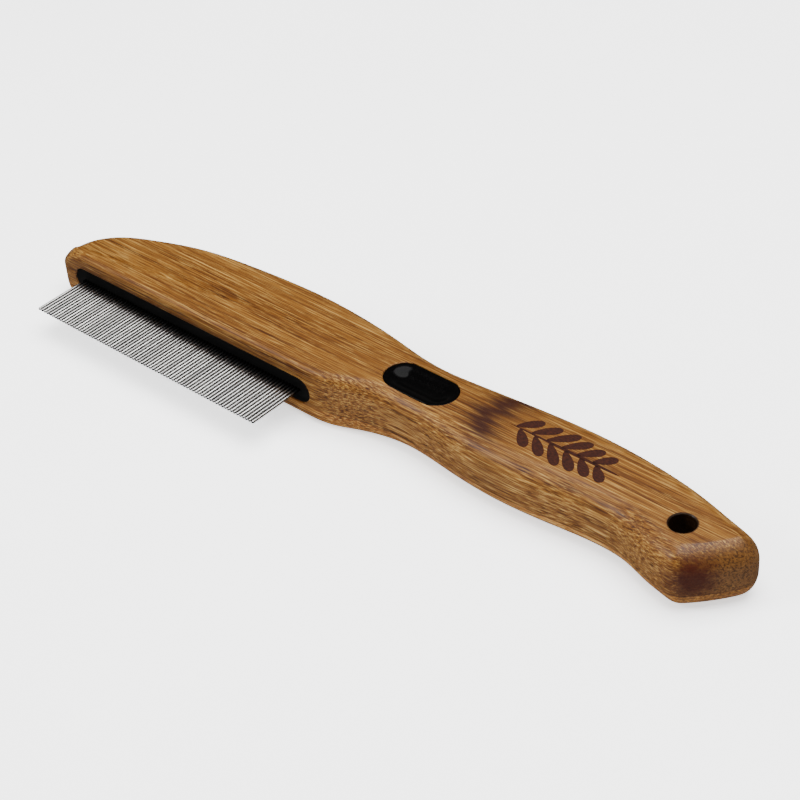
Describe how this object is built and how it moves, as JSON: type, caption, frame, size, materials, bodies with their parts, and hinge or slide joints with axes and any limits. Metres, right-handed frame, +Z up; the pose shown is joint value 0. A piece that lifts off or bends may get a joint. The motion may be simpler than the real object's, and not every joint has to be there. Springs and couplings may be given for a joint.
{
  "type": "pet grooming comb",
  "caption": "Flea comb with a flat curved bamboo handle, a black bar of fine round steel pins that turn, a dished thumb pad and a hanging hole.",
  "frame": {"origin": "under the middle of the comb's bounding box, on the face it lies on", "axes": "+X along the comb from the nose to the butt, +Y from the pins' tips to the back, +Z up out of the face with the thumb pad"},
  "size_m": [0.2161, 0.0434, 0.016],
  "materials": {
    "bamboo": "satin",
    "black_bar": "matte",
    "pad": "gloss",
    "steel": "polished"
  },
  "bodies": {
    "board": {"upper_ply": "bamboo", "lower_ply": "bamboo", "pin_carrier": "black_bar", "carrier_cap": "black_bar", "thumb_pad": "pad", "pins_between": "steel"},
    "pin_01_body": {"pin_01": "steel"},
    "pin_03_body": {"pin_03": "steel"},
    "pin_05_body": {"pin_05": "steel"},
    "pin_07_body": {"pin_07": "steel"},
    "pin_09_body": {"pin_09": "steel"},
    "pin_11_body": {"pin_11": "steel"},
    "pin_13_body": {"pin_13": "steel"},
    "pin_15_body": {"pin_15": "steel"},
    "pin_17_body": {"pin_17": "steel"},
    "pin_19_body": {"pin_19": "steel"},
    "pin_21_body": {"pin_21": "steel"},
    "pin_23_body": {"pin_23": "steel"},
    "pin_25_body": {"pin_25": "steel"},
    "pin_27_body": {"pin_27": "steel"},
    "pin_29_body": {"pin_29": "steel"},
    "pin_31_body": {"pin_31": "steel"},
    "pin_33_body": {"pin_33": "steel"},
    "pin_35_body": {"pin_35": "steel"},
    "pin_37_body": {"pin_37": "steel"},
    "pin_39_body": {"pin_39": "steel"},
    "pin_41_body": {"pin_41": "steel"},
    "pin_43_body": {"pin_43": "steel"},
    "pin_45_body": {"pin_45": "steel"},
    "pin_47_body": {"pin_47": "steel"},
    "pin_49_body": {"pin_49": "steel"},
    "pin_51_body": {"pin_51": "steel"},
    "pin_53_body": {"pin_53": "steel"},
    "pin_55_body": {"pin_55": "steel"},
    "pin_57_body": {"pin_57": "steel"},
    "pin_59_body": {"pin_59": "steel"},
    "pin_61_body": {"pin_61": "steel"},
    "pin_63_body": {"pin_63": "steel"},
    "pin_65_body": {"pin_65": "steel"},
    "pin_67_body": {"pin_67": "steel"},
    "pin_69_body": {"pin_69": "steel"},
    "pin_71_body": {"pin_71": "steel"},
    "pin_73_body": {"pin_73": "steel"},
    "pin_75_body": {"pin_75": "steel"},
    "pin_77_body": {"pin_77": "steel"}
  },
  "joints": [
    {"name": "pin_01_spin", "type": "hinge", "parent": "board", "child": "pin_01_body", "pos_m": [-0.0973, -0.01, 0.008], "axis": [0, 1, 0], "continuous": true},
    {"name": "pin_03_spin", "type": "hinge", "parent": "board", "child": "pin_03_body", "pos_m": [-0.0952, -0.01, 0.008], "axis": [0, 1, 0], "continuous": true},
    {"name": "pin_05_spin", "type": "hinge", "parent": "board", "child": "pin_05_body", "pos_m": [-0.0931, -0.01, 0.008], "axis": [0, 1, 0], "continuous": true},
    {"name": "pin_07_spin", "type": "hinge", "parent": "board", "child": "pin_07_body", "pos_m": [-0.091, -0.01, 0.008], "axis": [0, 1, 0], "continuous": true},
    {"name": "pin_09_spin", "type": "hinge", "parent": "board", "child": "pin_09_body", "pos_m": [-0.0889, -0.01, 0.008], "axis": [0, 1, 0], "continuous": true},
    {"name": "pin_11_spin", "type": "hinge", "parent": "board", "child": "pin_11_body", "pos_m": [-0.0868, -0.01, 0.008], "axis": [0, 1, 0], "continuous": true},
    {"name": "pin_13_spin", "type": "hinge", "parent": "board", "child": "pin_13_body", "pos_m": [-0.0847, -0.01, 0.008], "axis": [0, 1, 0], "continuous": true},
    {"name": "pin_15_spin", "type": "hinge", "parent": "board", "child": "pin_15_body", "pos_m": [-0.0826, -0.01, 0.008], "axis": [0, 1, 0], "continuous": true},
    {"name": "pin_17_spin", "type": "hinge", "parent": "board", "child": "pin_17_body", "pos_m": [-0.0805, -0.01, 0.008], "axis": [0, 1, 0], "continuous": true},
    {"name": "pin_19_spin", "type": "hinge", "parent": "board", "child": "pin_19_body", "pos_m": [-0.0784, -0.01, 0.008], "axis": [0, 1, 0], "continuous": true},
    {"name": "pin_21_spin", "type": "hinge", "parent": "board", "child": "pin_21_body", "pos_m": [-0.0763, -0.01, 0.008], "axis": [0, 1, 0], "continuous": true},
    {"name": "pin_23_spin", "type": "hinge", "parent": "board", "child": "pin_23_body", "pos_m": [-0.0742, -0.01, 0.008], "axis": [0, 1, 0], "continuous": true},
    {"name": "pin_25_spin", "type": "hinge", "parent": "board", "child": "pin_25_body", "pos_m": [-0.0721, -0.01, 0.008], "axis": [0, 1, 0], "continuous": true},
    {"name": "pin_27_spin", "type": "hinge", "parent": "board", "child": "pin_27_body", "pos_m": [-0.07, -0.01, 0.008], "axis": [0, 1, 0], "continuous": true},
    {"name": "pin_29_spin", "type": "hinge", "parent": "board", "child": "pin_29_body", "pos_m": [-0.0679, -0.01, 0.008], "axis": [0, 1, 0], "continuous": true},
    {"name": "pin_31_spin", "type": "hinge", "parent": "board", "child": "pin_31_body", "pos_m": [-0.0658, -0.01, 0.008], "axis": [0, 1, 0], "continuous": true},
    {"name": "pin_33_spin", "type": "hinge", "parent": "board", "child": "pin_33_body", "pos_m": [-0.0637, -0.01, 0.008], "axis": [0, 1, 0], "continuous": true},
    {"name": "pin_35_spin", "type": "hinge", "parent": "board", "child": "pin_35_body", "pos_m": [-0.0616, -0.01, 0.008], "axis": [0, 1, 0], "continuous": true},
    {"name": "pin_37_spin", "type": "hinge", "parent": "board", "child": "pin_37_body", "pos_m": [-0.0595, -0.01, 0.008], "axis": [0, 1, 0], "continuous": true},
    {"name": "pin_39_spin", "type": "hinge", "parent": "board", "child": "pin_39_body", "pos_m": [-0.0574, -0.01, 0.008], "axis": [0, 1, 0], "continuous": true},
    {"name": "pin_41_spin", "type": "hinge", "parent": "board", "child": "pin_41_body", "pos_m": [-0.0553, -0.01, 0.008], "axis": [0, 1, 0], "continuous": true},
    {"name": "pin_43_spin", "type": "hinge", "parent": "board", "child": "pin_43_body", "pos_m": [-0.0532, -0.01, 0.008], "axis": [0, 1, 0], "continuous": true},
    {"name": "pin_45_spin", "type": "hinge", "parent": "board", "child": "pin_45_body", "pos_m": [-0.0511, -0.01, 0.008], "axis": [0, 1, 0], "continuous": true},
    {"name": "pin_47_spin", "type": "hinge", "parent": "board", "child": "pin_47_body", "pos_m": [-0.049, -0.01, 0.008], "axis": [0, 1, 0], "continuous": true},
    {"name": "pin_49_spin", "type": "hinge", "parent": "board", "child": "pin_49_body", "pos_m": [-0.0469, -0.01, 0.008], "axis": [0, 1, 0], "continuous": true},
    {"name": "pin_51_spin", "type": "hinge", "parent": "board", "child": "pin_51_body", "pos_m": [-0.0448, -0.01, 0.008], "axis": [0, 1, 0], "continuous": true},
    {"name": "pin_53_spin", "type": "hinge", "parent": "board", "child": "pin_53_body", "pos_m": [-0.0427, -0.01, 0.008], "axis": [0, 1, 0], "continuous": true},
    {"name": "pin_55_spin", "type": "hinge", "parent": "board", "child": "pin_55_body", "pos_m": [-0.0406, -0.01, 0.008], "axis": [0, 1, 0], "continuous": true},
    {"name": "pin_57_spin", "type": "hinge", "parent": "board", "child": "pin_57_body", "pos_m": [-0.0385, -0.01, 0.008], "axis": [0, 1, 0], "continuous": true},
    {"name": "pin_59_spin", "type": "hinge", "parent": "board", "child": "pin_59_body", "pos_m": [-0.0364, -0.01, 0.008], "axis": [0, 1, 0], "continuous": true},
    {"name": "pin_61_spin", "type": "hinge", "parent": "board", "child": "pin_61_body", "pos_m": [-0.0343, -0.01, 0.008], "axis": [0, 1, 0], "continuous": true},
    {"name": "pin_63_spin", "type": "hinge", "parent": "board", "child": "pin_63_body", "pos_m": [-0.0322, -0.01, 0.008], "axis": [0, 1, 0], "continuous": true},
    {"name": "pin_65_spin", "type": "hinge", "parent": "board", "child": "pin_65_body", "pos_m": [-0.0301, -0.01, 0.008], "axis": [0, 1, 0], "continuous": true},
    {"name": "pin_67_spin", "type": "hinge", "parent": "board", "child": "pin_67_body", "pos_m": [-0.028, -0.01, 0.008], "axis": [0, 1, 0], "continuous": true},
    {"name": "pin_69_spin", "type": "hinge", "parent": "board", "child": "pin_69_body", "pos_m": [-0.0259, -0.01, 0.008], "axis": [0, 1, 0], "continuous": true},
    {"name": "pin_71_spin", "type": "hinge", "parent": "board", "child": "pin_71_body", "pos_m": [-0.0238, -0.01, 0.008], "axis": [0, 1, 0], "continuous": true},
    {"name": "pin_73_spin", "type": "hinge", "parent": "board", "child": "pin_73_body", "pos_m": [-0.0217, -0.01, 0.008], "axis": [0, 1, 0], "continuous": true},
    {"name": "pin_75_spin", "type": "hinge", "parent": "board", "child": "pin_75_body", "pos_m": [-0.0196, -0.01, 0.008], "axis": [0, 1, 0], "continuous": true},
    {"name": "pin_77_spin", "type": "hinge", "parent": "board", "child": "pin_77_body", "pos_m": [-0.0175, -0.01, 0.008], "axis": [0, 1, 0], "continuous": true}
  ]
}
